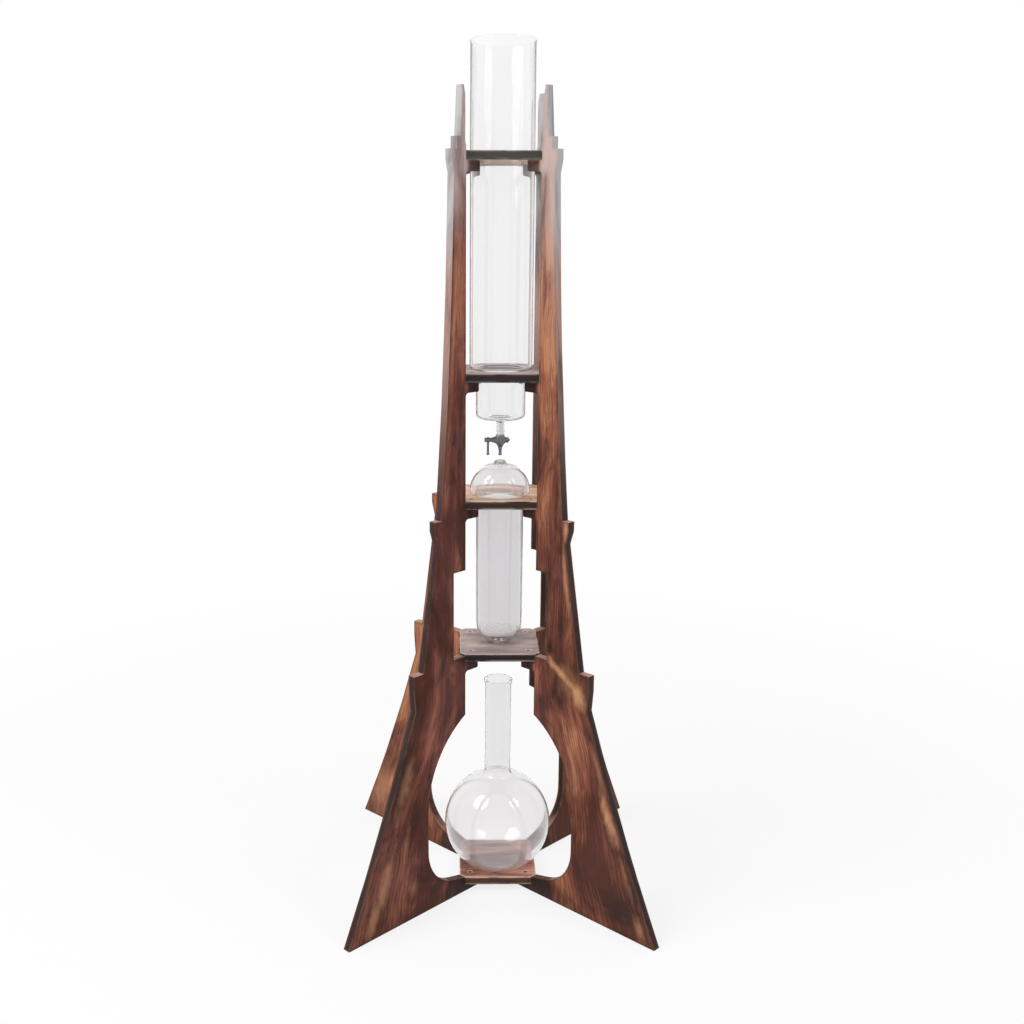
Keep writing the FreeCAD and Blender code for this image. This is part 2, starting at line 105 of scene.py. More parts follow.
def add_node(tree, kind, options=None, **inputs):
    """A new node.  Options are its menu settings, inputs are named after its sockets, with _ for a space."""
    made = tree.nodes.new("ShaderNode" + kind)
    for name, value in (options or {}).items():
        setattr(made, name, value)
    for name, value in inputs.items():
        feed(made.inputs[name.replace("_", " ")], value)
    return made


def feed_in_turn(kind, options, slots, values):
    """A new node, in the tree to which the values that are sockets belong, with those values in its slots."""
    tree = next(value.id_data for value in values if isinstance(value, bpy.types.NodeSocket))
    made = add_node(tree, kind, options)
    for slot, value in zip(slots, values):
        feed(made.inputs[slot], value)
    return made


def math_node(operation):
    """A function that adds a Math node for one operation."""
    def add(first, second=0.0, clamp=False):
        options = {"operation": operation, "use_clamp": clamp}
        return feed_in_turn("Math", options, (0, 1), (first, second)).outputs[0]
    return add


plus, minus, times, over = [math_node(name) for name in ("ADD", "SUBTRACT", "MULTIPLY", "DIVIDE")]
larger, unsigned = math_node("MAXIMUM"), math_node("ABSOLUTE")


def add_vector(operation, first, second=(0.0, 0.0, 0.0)):
    slots = (0, 3 if operation == "SCALE" else 1)
    made = feed_in_turn("VectorMath", {"operation": operation}, slots, (first, second))
    return made.outputs["Value" if operation in ("LENGTH", "DOT_PRODUCT") else "Vector"]


def add_mix(share, first, second):
    """Colour between first (share 0) and second (share 1)."""
    return feed_in_turn("Mix", {"data_type": "RGBA"}, (0, 6, 7), (share, first, second)).outputs[2]


def add_range(value, low, high, to_low=0.0, to_high=1.0):
    """Soft step of a value from low to high."""
    step = add_node(value.id_data, "MapRange", {"interpolation_type": "SMOOTHSTEP"}, Value=value,
                    From_Min=low, From_Max=high, To_Min=to_low, To_Max=to_high)
    return step.outputs["Result"]


def new_material(name):
    """An empty material, its tree, and the socket that takes its surface."""
    material = bpy.data.materials.new(name)
    material.use_nodes = True
    material.node_tree.nodes.clear()
    output = material.node_tree.nodes.new("ShaderNodeOutputMaterial")
    return material, material.node_tree, output.inputs["Surface"]


def new_group(name, inputs, outputs):
    """An empty shader group.  Its sockets are listed as text, each a Float where no other kind is named."""
    group = bpy.data.node_groups.new(name, "ShaderNodeTree")
    for side, sockets in (("INPUT", inputs), ("OUTPUT", outputs)):
        for socket in sockets.split(", "):
            label, _, kind = socket.partition(":")
            group.interface.new_socket(name=label, in_out=side, socket_type="NodeSocket" + (kind or "Float"))
    return group, group.nodes.new("NodeGroupInput").outputs, group.nodes.new("NodeGroupOutput").inputs


def use_group(tree, group, **inputs):
    return add_node(tree, "Group", {"node_tree": group}, **inputs).outputs


def one_axis(vector, axis):
    """The X, Y or Z of a vector."""
    return add_node(vector.id_data, "SeparateXYZ", Vector=vector).outputs[axis]


def object_place(tree):
    """Where a point lies in its object, which stays the same when the object moves."""
    return add_node(tree, "TexCoord").outputs["Object"]


def main_shader(tree, colour, roughness, height=None, strength=0.0, depth=0.0):
    """A Principled shader, with a bump of that depth in metres where a height is given."""
    shader = add_node(tree, "BsdfPrincipled", Base_Color=colour, Roughness=roughness)
    if height:
        bump = add_node(tree, "Bump", Height=height, Strength=strength, Distance=depth)
        feed(shader.inputs["Normal"], bump.outputs["Normal"])
    return shader


def mix_shaders(share, first, second):
    """The first shader where the share is 0 and the second where it is 1."""
    return feed_in_turn("MixShader", {}, (0, 1, 2), (share, first.outputs[0], second.outputs[0]))


print("node helpers ready")

# %% Mesh helpers
weld = 1e-6                   # points that are closer than this are one point


def to_object(name, drawing):
    """Makes a finished bmesh an object of the scene."""
    mesh = bpy.data.meshes.new(name)
    drawing.to_mesh(mesh)
    drawing.free()
    piece = bpy.data.objects.new(name, mesh)
    scene.collection.objects.link(piece)
    return piece


def dress(piece, material, sharp_from):
    """Gives a piece its material, and smooth shading except at edges sharper than that many degrees."""
    piece.data.materials.append(material)
    for face in piece.data.polygons:
        face.use_smooth = True
    piece.data.set_sharp_from_angle(angle=math.radians(sharp_from))


print("mesh helpers ready")

# %% [markdown]
# ## Room and light
#
# A product like this is shot on a white sweep.  The floor has to stay pale near the feet, where it takes
# the shadow, and melt into the white behind.  One way is a very bright floor, but that also pours light
# on the wood from below.  Instead a share of the floor glows only for the camera and for what is seen in
# glass and metal, and that share grows to all of it away from the feet.

# %% Floor
floor_half = 8.0
shadow_reach = (0.45, 1.6)    # full shadow inside the first radius, pure white past the second
floor_glow_near = 0.8         # share of the glow inside the first radius
floor_grey = (0.86, 0.86, 0.86)
white = (1.0, 1.0, 1.0)


def seen_by_eye(tree):
    """1 for rays that come from the camera, also by way of glass and metal, and 0 for all others."""
    path = add_node(tree, "LightPath").outputs
    seen = larger(path["Is Camera Ray"], path["Is Transmission Ray"])
    return larger(seen, path["Is Glossy Ray"])


sketch = bmesh.new()
bmesh.ops.create_grid(sketch, x_segments=1, y_segments=1, size=floor_half)
floor = to_object("floor", sketch)

floor_paint, tree, surface = new_material("floor_sweep")
distance = add_vector("LENGTH", object_place(tree))
glow_share = add_range(distance, *shadow_reach, floor_glow_near, 1.0)
glow_share = times(glow_share, seen_by_eye(tree))
matt = add_node(tree, "BsdfDiffuse", Color=floor_grey)
glow = add_node(tree, "Emission", Color=white, Strength=1.0)
blend = mix_shaders(glow_share, matt, glow)
feed(surface, blend.outputs[0])
floor.data.materials.append(floor_paint)
print("floor", 2 * floor_half, "m square")

# %% World
world_fill = 0.62             # strength of the even light that the white room throws on the tower
world = bpy.data.worlds.new("white_room")
scene.world = world
world.use_nodes = True
tree = world.node_tree
tree.nodes.clear()
surface = tree.nodes.new("ShaderNodeOutputWorld").inputs["Surface"]
extra = times(seen_by_eye(tree), 1.0 - world_fill)
strength = plus(world_fill, extra)
room = add_node(tree, "Background", Color=white, Strength=strength)
feed(surface, room.outputs[0])
print("world fill", world_fill)

# %% [markdown]
# ## Lamps
#
# Two soft boxes do the rest.  The large one hangs high on the left, so the boards grow paler towards the
# top; a smaller and weaker one on the right keeps the other faces of the boards open and gives the flask
# its second highlight.  They are wide because a small lamp would draw hard shadows of the shelves, and
# round like an umbrella, so that their reflections on the glass are round too.

# %% Soft boxes
def soft_box(name, place, aim, width, power):
    """A round lamp of that width and of that many watts."""
    lamp = bpy.data.lights.new(name, "AREA")
    lamp.shape = "DISK"
    lamp.size = width
    lamp.energy = power
    holder = bpy.data.objects.new(name, lamp)
    scene.collection.objects.link(holder)
    towards = Vector(aim) - Vector(place)
    facing = towards.to_track_quat("-Z", "Y").to_matrix().to_4x4()
    holder.matrix_world = Matrix.Translation(place) @ facing


soft_box("key_box", (-1.45, -0.75, 2.15), (0, 0, 0.75), 1.5, 33.0)
soft_box("fill_box", (1.5, -0.9, 2.1), (0, 0, 0.6), 1.0, 12.0)
print("two soft boxes")

# %% [markdown]
# ## Scorched pine: where a board lies
#
# The boards are soft pine that was torched, brushed and oiled.  Every pattern on them follows the board
# and not the world, so the first group turns object coordinates into board coordinates: X across the
# grain, Y through the thickness, Z along the grain.  It turns the surface normal in the same way, which
# tells a broad face from a sawn edge.  Unwrapping each board would do the same with more work.  The wear
# depends on height, on distance from the tower's axis and on how far a face looks up, so these come along.

# %% Board frame group
board_frame, ins, outs = new_group("board_frame", "Turn:Vector, Shift:Vector",
                                   "Board:Vector, Broadside, Up, Out, Upward")
where = object_place(board_frame)
turned = add_node(board_frame, "Mapping", Vector=where, Rotation=ins["Turn"], Location=ins["Shift"])
feed(outs["Board"], turned.outputs["Vector"])
facing = add_node(board_frame, "NewGeometry").outputs["Normal"]
feed(outs["Upward"], one_axis(facing, "Z"))
facing = add_node(board_frame, "Mapping", {"vector_type": "VECTOR"}, Vector=facing, Rotation=ins["Turn"])
feed(outs["Broadside"], unsigned(one_axis(facing.outputs["Vector"], "Y")))
feed(outs["Up"], one_axis(where, "Z"))
level = add_vector("MULTIPLY", where, (1.0, 1.0, 0.0))
feed(outs["Out"], add_vector("LENGTH", level))
print("board frame group ready")

# %% [markdown]
# ## Scorched pine: the grain
#
# Pine has hard dark growth lines with soft pale wood between them, and a flame leaves clouds of soot on
# top.  The same noise that makes clouds, stretched many times along the board, reads as grain, so no
# picture of wood is needed.  A slow drift of the coordinates makes the lines sway as a tree grows.

# %% Grain group
def stretched_noise(vector, across, along, detail, roughness=0.55, warp=0.0):
    """Noise drawn out along the board: across and along are its features per metre."""
    tree = vector.id_data
    fitted = add_node(tree, "Mapping", Vector=vector, Scale=(across, across, along))
    return add_node(tree, "TexNoise", Vector=fitted.outputs["Vector"], Scale=1.0,
                    Detail=detail, Roughness=roughness, Distortion=warp).outputs


line_flattening = 0.06        # how much slower the growth lines change along the board than across it
grain_noises = {              # across, along, detail, roughness and warp of each
    "Streaks": (46.0, 6.0, 6.0, 0.64, 0.5),
    "Patches": (17.0, 8.0, 3.0, 0.6, 0.6),
    "Fibres": (480.0, 24.0, 3.0, 0.65),
    "Soot": (23.0, 10.0, 6.0, 0.68, 0.7),
}
grain, ins, outs = new_group("pine_grain", "Board:Vector, Sway", "Streaks, Patches, Lines, Fibres, Soot")
drift = stretched_noise(ins["Board"], across=11.0, along=4.5, detail=2.0)["Color"]
drift = add_vector("SUBTRACT", drift, (0.5, 0.5, 0.5))
drift = add_vector("SCALE", drift, ins["Sway"])
swayed = add_vector("ADD", ins["Board"], drift)
for layer, look in grain_noises.items():
    feed(outs[layer], stretched_noise(swayed, *look)["Fac"])
flattened = add_node(grain, "Mapping", Vector=swayed, Scale=(1.0, 1.0, line_flattening))
lines = add_node(grain, "TexWave", {"wave_type": "BANDS", "bands_direction": "X"},
                 Vector=flattened.outputs["Vector"], Scale=95.0, Distortion=9.0, Detail=2.5,
                 Detail_Scale=2.0, Detail_Roughness=0.6)
feed(outs["Lines"], lines.outputs["Fac"])
print("grain group:", len(grain.nodes), "nodes")

# %% [markdown]
# ## Scorched pine: grain that follows the foot
#
# The feet spread out downwards, and their grain spreads with them: upright at the inner edge and along the
# slope at the outer one.  So below the first waist the distance from the inner edge is shrunk by as much
# as the foot is wider there, which fans the straight grain out.

# %% Fanned grain group
inner_edge_r = 0.0695         # distance of the boards' inner edges from the tower's axis
foot_top = 0.2875             # height of the first waist
foot_growth = 4.7             # growth of the foot's width in each metre below it, as a share of that width
fan, ins, outs = new_group("fanned_grain", "Board:Vector, Up, Out", "Board:Vector")
below = larger(minus(foot_top, ins["Up"]), 0.0)
wider = plus(times(below, foot_growth), 1.0)
shrunk = minus(over(1.0, wider), 1.0)
inward = times(minus(ins["Out"], inner_edge_r), shrunk)
inward = add_node(fan, "CombineXYZ", X=inward).outputs["Vector"]
feed(outs["Board"], add_vector("ADD", ins["Board"], inward))
print("fanned grain group ready")

# %% [markdown]
# ## Scorched pine: charred rims
#
# A flame bites first at corners and sawn edges.  Painting vertices would need a dense mesh; the Bevel
# node needs none.  It averages the normals within some millimetres, so the more its answer differs from
# the true normal, the nearer an edge is.  Sawn edges are told by the board frame and go darker all over,
# but on faces that look up the char is thinned out, which paints the light that falls on them from above.
# The eased corner itself, the only place where the normal points neither sideways nor broadside, turns
# pale, partly worn down to the wood and partly a painted highlight, except where it looks down, away from
# the light.

# %% Char group
char_grit = (90.0, 30.0, 3.0, 0.7)    # across, along, detail and roughness of a ragged noise
rim_gain = (0.3, 0.7, 1.5, 7.0)       # two values of that noise, and how hard the rims are charred at them
sawn_face = (0.6, 0.97, 1.0, 0.0)     # two turns towards broadside, and how much of a sawn edge they are
upward_light_face = (0.6, 0.95, 1.0, 0.15)   # two turns upwards, and how much of the char they keep: painted light from above
downward_cutoff = (-0.35, -0.05)       # a face that looks further down than the first gets no pale corner
slant_of_corner = (0.08, 0.18)
turn_of_corner = (0.10, 0.24)
worn_and_highlit_spots = (0.36, 0.56)
char, ins, outs = new_group("charred_rim", "Board:Vector, Broadside, Reach, Edge Char", "Char, Worn Edge")
rounded = add_node(char, "Bevel", {"samples": 6}, Radius=ins["Reach"]).outputs["Normal"]
straight = add_node(char, "NewGeometry").outputs["Normal"]
turned_away = minus(1.0, add_vector("DOT_PRODUCT", rounded, straight))
ragged = stretched_noise(ins["Board"], *char_grit)["Fac"]
rim = times(turned_away, add_range(ragged, *rim_gain), clamp=True)
sawn = times(add_range(ins["Broadside"], *sawn_face), ins["Edge Char"])
upward = one_axis(straight, "Z")
# Painted light: faces that look up keep less char.
lit_from_above = add_range(upward, *upward_light_face)
feed(outs["Char"], times(larger(rim, sawn), lit_from_above))
# Pale eased corners: partly real wear, partly a painted highlight.
slanted = minus(1.0, ins["Broadside"])
slanted = add_range(times(slanted, ins["Broadside"]), *slant_of_corner)
worn_and_highlit_corner = larger(slanted, add_range(turned_away, *turn_of_corner))
worn_and_highlit_corner = times(worn_and_highlit_corner, add_range(upward, *downward_cutoff))
feed(outs["Worn Edge"], times(worn_and_highlit_corner, add_range(ragged, *worn_and_highlit_spots)))
print("char group ready")

# %% [markdown]
# ## Scorched pine: a pale swirl at a knot
#
# Where a branch grew, the grain swings aside and the torch leaves a pale slanting streak.  It is one soft
# ellipse: a Mapping node of the Texture kind moves, turns and shrinks the coordinates so that the streak
# becomes a unit ball, and its ragged edge comes from a little noise.  The same ellipse serves for a spot
# where the flame stood too long, and for one painted highlight along an eased edge.

# %% Knot group
knot_grit = (120.0, 60.0, 3.0, 0.6)   # across, along, detail and roughness of the noise
knot_raggedness = 0.9                 # how far the noise pushes the edge in, as a share of the ellipse
knot_edge = (0.5, 1.4, 1.0, 0.0)
knot, ins, outs = new_group("pale_swirl", "Board:Vector, Place:Vector, Tilt:Vector, Size:Vector, Strength",
                            "Swirl")
local = add_node(knot, "Mapping", {"vector_type": "TEXTURE"}, Vector=ins["Board"],
                 Location=ins["Place"], Rotation=ins["Tilt"], Scale=ins["Size"])
away = add_vector("LENGTH", local.outputs["Vector"])
ragged = stretched_noise(ins["Board"], *knot_grit)["Fac"]
away = plus(away, times(ragged, knot_raggedness))
swirl = add_range(away, *knot_edge)
feed(outs["Swirl"], times(swirl, ins["Strength"]))
print("knot group ready")

# %% [markdown]
# ## Scorched pine: painted highlight rings about the screws
#
# A pale ring is painted round each screw head as its highlight.  All four screws of a shelf lie at the
# same distance from both axes, so folding the coordinates over makes one ring do for all.

# %% Screw ring group
screw_offset = 0.0382         # distance of each screw from the X and from the Y axis
screw_highlight_ring, ins, outs = new_group("screw_highlight_ring", "Inner, Outer", "Ring")
where = add_vector("ABSOLUTE", object_place(screw_highlight_ring))
where = add_vector("SUBTRACT", where, (screw_offset, screw_offset, 0.0))
where = add_vector("MULTIPLY", where, (1.0, 1.0, 0.0))
away = add_vector("LENGTH", where)
inside = math_node("LESS_THAN")(away, ins["Outer"])
outside = math_node("GREATER_THAN")(away, ins["Inner"])
feed(outs["Ring"], times(inside, outside))
print("screw ring group ready")

# %% [markdown]
# ## Scorched pine: the finish
#
# One group mixes the layers in this order: stained wood, its streaks and lines, the knot's streak,
# clouds of soot with painted shade at the joints, charred rims, pale corners that are partly worn and
# partly a painted highlight, painted highlight rings round the screws, and last a pale painted sheen for
# the gloss of the white room and the high lamp, which takes the sawn edges first and also lies on faces
# that look up.  The dark wood turns from umber to plum in places, which a single stain would miss.  The
# group hands out colour, roughness and a height for the bump, so every board shares it with its own values.

# %% Finish group
grain_sway = 0.035            # metres by which the grain drifts
grain_weights = {"Streaks": 0.54, "Patches": 0.31, "Lines": 0.05, "Fibres": 0.10}
plum_from = (0.40, 0.60)      # patches at which the dark wood turns plum
mid_from = (0.40, 0.57)       # tone at which dark wood turns to mid
gold_from = (0.51, 0.64)      # and at which it turns to gold
swirl_gold = 0.85             # how much gold there is in a swirl
cloud_from = (0.46, 0.70)     # noise at which a cloud of soot comes in
char_reach = 0.008            # metres from an edge that the char reaches
broad_face = (0.35, 0.8)      # how far a face turns from sawn edge to broad face
sheen_mottle = (0.36, 0.58, 0.45, 1.0)
oiled_roughness = 0.46
fibre_roughness = 0.16        # and what fibres and char add to it
char_roughness = 0.14
line_height = 0.2             # height of a growth line, as a share of that of a fibre
pine, ins, outs = new_group(
    "scorched_pine",
    "Board:Vector, Broadside, Dark:Color, Mid:Color, Pale:Color, Plum:Color, Char Colour:Color, Lift, "
    "Pale Share, Soot Share, Joint Soot, Edge Char, Edge Wear, Bare, Swirl, Edge Bloom, Broad Bloom, "
    "Bloom Colour:Color",
    "Colour:Color, Roughness, Height",
)
layers = use_group(pine, grain, Board=ins["Board"], Sway=grain_sway)
tone = ins["Lift"]
for layer, weight in grain_weights.items():
    tone = plus(tone, times(layers[layer], weight))
colour = add_mix(add_range(layers["Patches"], *plum_from), ins["Dark"], ins["Plum"])
colour = add_mix(add_range(tone, *mid_from), colour, ins["Mid"])
gold = times(add_range(tone, *gold_from), ins["Pale Share"])
gold = larger(gold, times(ins["Swirl"], swirl_gold))
colour = add_mix(gold, colour, ins["Pale"])
soot_and_joint_shade = times(add_range(layers["Soot"], *cloud_from), ins["Soot Share"])
soot_and_joint_shade = times(soot_and_joint_shade, minus(1.0, ins["Swirl"]))
# The joints add painted shade under the shelves on top of their soot.
soot_and_joint_shade = larger(soot_and_joint_shade, ins["Joint Soot"], clamp=True)
colour = add_mix(soot_and_joint_shade, colour, ins["Char Colour"])
burnt = use_group(pine, char, Board=ins["Board"], Broadside=ins["Broadside"], Reach=char_reach,
                  Edge_Char=ins["Edge Char"])
colour = add_mix(burnt["Char"], colour, ins["Char Colour"])
# Pale eased corners, partly worn and partly a painted highlight.
bare_and_highlit_edge = times(burnt["Worn Edge"], ins["Edge Wear"])
colour = add_mix(larger(bare_and_highlit_edge, ins["Bare"]), colour, ins["Pale"])
# Painted sheen: a pale wash for the gloss of the white room and the high lamp on the oiled wood.
broad = add_range(ins["Broadside"], *broad_face)
painted_sheen = times(ins["Edge Bloom"], minus(1.0, broad))
painted_sheen = plus(painted_sheen, times(ins["Broad Bloom"], broad))
painted_sheen = times(painted_sheen, add_range(layers["Streaks"], *sheen_mottle))
painted_sheen = times(painted_sheen, minus(1.0, ins["Joint Soot"]))
colour = add_mix(painted_sheen, colour, ins["Bloom Colour"])
rough = times(layers["Fibres"], fibre_roughness)
rough = plus(oiled_roughness, rough)
rough = plus(rough, times(burnt["Char"], char_roughness))
height = plus(layers["Fibres"], times(layers["Lines"], line_height))
feed(outs["Colour"], colour)
feed(outs["Roughness"], rough)
feed(outs["Height"], height)
print("finish group:", len(pine.nodes), "nodes")

# %% [markdown]
# ## One material for each board
#
# No two boards of a tree look alike.  Each gets its own material, with the turn of its board, a shift
# into another part of the noise, its own share of pale wood and soot, and its own spots.  One material
# for all would be shorter, but the same streaks would show on every board.  What height and joints do,
# a change of tone, a painted sheen and painted shade at the joints, is kept in a function of its own,
# because only the boards that stand upright have any.

# %% Wood recipe
char_colour = (0.016, 0.009, 0.010)
stain = {"Dark": (0.078, 0.023, 0.013), "Plum": (0.100, 0.029, 0.027),
         "Mid": (0.28, 0.093, 0.050), "Pale": (0.63, 0.32, 0.165)}
left_stain = dict(stain, Mid=(0.265, 0.088, 0.058))
rose_painted_sheen = (0.50, 0.31, 0.27)
grey_painted_sheen = (0.50, 0.48, 0.49)

# Two heights, and the values at them
lift_from = (0.56, 0.84)                  # between which the tone turns from the foot's lift to the shaft's
edge_sheen_from = (0.54, 0.84, 0.03)      # where the painted sheen comes in on the sawn edges
grey_from = (0.80, 0.91)                  # where it turns from rose to grey
full_sheen = (0.93, 0.96)                 # where it spreads over the whole breadth of a board
foot_joint_reach = (0.0, 0.10, 0.043, 0.0)       # how much further out the joints' soot and painted shade reach at the feet

# Two distances from the tower's axis, and the values at them
sheen_out = (0.073, 0.090, 0.5, 1.0)      # the painted sheen on the broad faces
joint_reach = (0.063, 0.0705, 1.0, 0.0)   # the soot and painted shade of the joints
hole_reach = (0.044, 0.049)               # from the side of a drilled hole to the shelf's rim

upward_sheen = (0.6, 0.95, 0.0, 0.75)             # two turns upwards, and the painted sheen on them
rosiness = 0.45                           # how much less grey the painted sheen is on the broad faces
joint_soot_and_shade = 0.85
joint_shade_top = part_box("top_shelf")[0].z       # the joints above get neither soot nor painted shade
joint_shade_fade = 0.003
hole_char = 0.15                          # how much char is left on the sides of the drilled holes
highlight_ring_radii = (0.0031, 0.0043)
spot_depth = 0.03                         # half the depth of a spot, enough to go through a board


def soft_spots(board, shift, spots):
    """How far a place lies in any of the spots: (out, up, tilt, half width, half length, strength)."""
    union = 0.0
    for out, up, tilt, width, length, strength in spots:
        spot = use_group(board.id_data, knot, Board=board, Strength=strength,
                         Place=(out + shift[0], shift[1], up + shift[2]),
                         Tilt=(0, math.radians(tilt), 0), Size=(width, spot_depth, length))
        union = larger(union, spot["Swirl"])
    return union


def height_and_joint_looks(inputs, board, lift, bloom, scorched):
    """What height and joints do to a standing board: a tone that changes with height, a painted sheen, and
    soot with painted shade at the joints.
    """
    up = board["Up"]
    edge_share, broad_share, *broad_sheen_from = bloom
    feed(inputs["Lift"], add_range(up, *lift_from, *lift))
    rosy = minus(1.0, times(board["Broadside"], rosiness))
    greyed = times(add_range(up, *grey_from), rosy)
    feed(inputs["Bloom Colour"], add_mix(greyed, rose_painted_sheen, grey_painted_sheen))
    high_edge = add_range(up, *edge_sheen_from, edge_share)
    # Faces that look up get painted sheen from the light above.
    upward_lit = add_range(board["Upward"], *upward_sheen)
    feed(inputs["Edge Bloom"], larger(high_edge, upward_lit))
    breadth = larger(add_range(board["Out"], *sheen_out), add_range(up, *full_sheen))
    breadth = times(breadth, broad_share)
    breadth = times(breadth, add_range(up, *broad_sheen_from))
    feed(inputs["Broad Bloom"], breadth)
    # The joints under the shelves get soot and painted shade.
    inward = minus(board["Out"], add_range(up, *foot_joint_reach))
    joint_darkening = add_range(up, joint_shade_top - joint_shade_fade, joint_shade_top + joint_shade_fade, joint_soot_and_shade, 0.0)
    joint_darkening = times(joint_darkening, add_range(inward, *joint_reach))
    feed(inputs["Joint Soot"], larger(joint_darkening, scorched))


def wood(name, turn, shift, pale=0.5, soot=0.6, edge_char=0.8, stain=stain, lift=(0.0, 0.0), bloom=None,
         swirls=(), scorches=(), char=char_colour, wear=0.3, screws=0.0):
    """Scorched pine for one board.  Turn is in degrees and shift in metres.  A board with a sheen is one
    that stands: lift is how much paler its foot and its shaft are, and the sheen shares are the share of
    painted sheen on its sawn edges, the share on its broad faces and the two heights between which it comes
    in on those.  Swirls are pale spots and scorches sooty ones, and screws is how strong the painted
    highlight rings round a shelf's screws are."""
    material, tree, surface = new_material(name)
    board = use_group(tree, board_frame, Turn=[math.radians(angle) for angle in turn], Shift=shift)
    grown = board["Board"]
    if bloom:
        grown = use_group(tree, fan, Board=grown, Up=board["Up"], Out=board["Out"])["Board"]
    finish = use_group(tree, pine, Board=grown, Broadside=board["Broadside"], Pale_Share=pale,
                       Soot_Share=soot, Edge_Char=edge_char, Edge_Wear=wear, Char_Colour=char,
                       **stain)
    inputs = finish[0].node.inputs
    feed(inputs["Swirl"], soft_spots(board["Board"], shift, swirls))
    if bloom:
        height_and_joint_looks(inputs, board, lift, bloom, soft_spots(board["Board"], shift, scorches))
    # Painted highlight rings round the screw heads.
    if screws:
        feed(inputs["Edge Char"], add_range(board["Out"], *hole_reach, hole_char, edge_char))
        highlight_ring = use_group(tree, screw_highlight_ring, Inner=highlight_ring_radii[0], Outer=highlight_ring_radii[1])["Ring"]
        feed(inputs["Bare"], times(highlight_ring, screws))
    shader = main_shader(tree, finish["Colour"], finish["Roughness"], finish["Height"], 0.35, depth=0.0006)
    shader.inputs["Specular IOR Level"].default_value = 0.16
    feed(surface, shader.outputs[0])
    return material


print("wood recipe ready")

# %% Leg materials
foot_slant = -22.0            # degrees that the outer edge of a foot leans
shaft_slant = -3.5            # and of a shaft
right_swirls = (              # out, up, tilt, half width, half length, strength
    (0.115, 0.3280, 36.0, 0.056, 0.010, 1.0),
    (0.128, 0.3160, 36.0, 0.058, 0.030, 0.35),
    (0.145, 0.3050, 52.0, 0.030, 0.018, 1.0),
    (0.119, 0.5180, 0.0, 0.008, 0.026, 0.9),
    (0.117, 0.4700, -4.0, 0.005, 0.050, 0.6),
    (0.199, 0.152, foot_slant, 0.012, 0.055, 1.0),
    (0.181, 0.212, foot_slant, 0.007, 0.060, 0.4),
    (0.232, 0.075, foot_slant, 0.006, 0.050, 0.35),
    (0.252, 0.020, foot_slant, 0.010, 0.030, 0.5),
    (0.108, 0.590, shaft_slant, 0.005, 0.090, 0.6),
    (0.122, 0.440, -8.0, 0.005, 0.055, 0.6),
    # This streak along the inner edge of the shaft is a painted highlight of the eased corner.
    (0.070, 0.810, 0.0, 0.008, 0.150, 1.0),
    (0.096, 0.790, shaft_slant, 0.008, 0.100, 1.0),
    (0.083, 0.740, 0.0, 0.009, 0.060, 0.7),
)
right_scorches = (
    (0.094, 0.3600, 20.0, 0.026, 0.012, 0.85),
    (0.100, 0.3960, shaft_slant, 0.010, 0.045, 0.55),
)
left_swirls = (
    (0.180, 0.190, -18.0, 0.014, 0.060, 0.5),
    (0.214, 0.070, -20.0, 0.016, 0.060, 0.5),
    (0.178, 0.110, -10.0, 0.008, 0.040, 0.35),
    (0.236, 0.028, foot_slant, 0.014, 0.045, 0.55),
    (0.165, 0.045, -10.0, 0.012, 0.024, 0.35),
    (0.090, 0.770, shaft_slant, 0.005, 0.110, 0.55),
)
back_swirls = ((0.235, 0.055, foot_slant, 0.030, 0.070, 0.4),)
leg_wood = {
    "front_left": wood("pine_front_left", (0, 0, -225), (0.3, 0.1, 0.0), pale=0.35, soot=0.75,
                       edge_char=0.75, stain=left_stain, lift=(-0.05, 0.04),
                       bloom=(0.9, 0.95, 0.85, 0.97), swirls=left_swirls, wear=0.15),
    "front_right": wood("pine_front_right", (0, 0, -315), (1.7, 0.4, 2.1), pale=0.6, soot=0.7,
                        edge_char=0.95, lift=(-0.03, 0.06), bloom=(0.9, 0.8, 0.72, 0.95),
                        swirls=right_swirls, scorches=right_scorches, wear=0.15),
    "back_left": wood("pine_back_left", (0, 0, -135), (3.1, 0.7, 4.3), pale=0.5, soot=0.1,
                      lift=(0.04, 0.03), bloom=(0.8, 0.6, 0.84, 0.96), swirls=back_swirls),
    "back_right": wood("pine_back_right", (0, 0, -45), (4.9, 1.1, 6.7), pale=0.7, soot=0.3,
                       lift=(-0.02, 0.04), bloom=(0.9, 0.6, 0.84, 0.96)),
}
print("leg materials:", len(leg_wood))

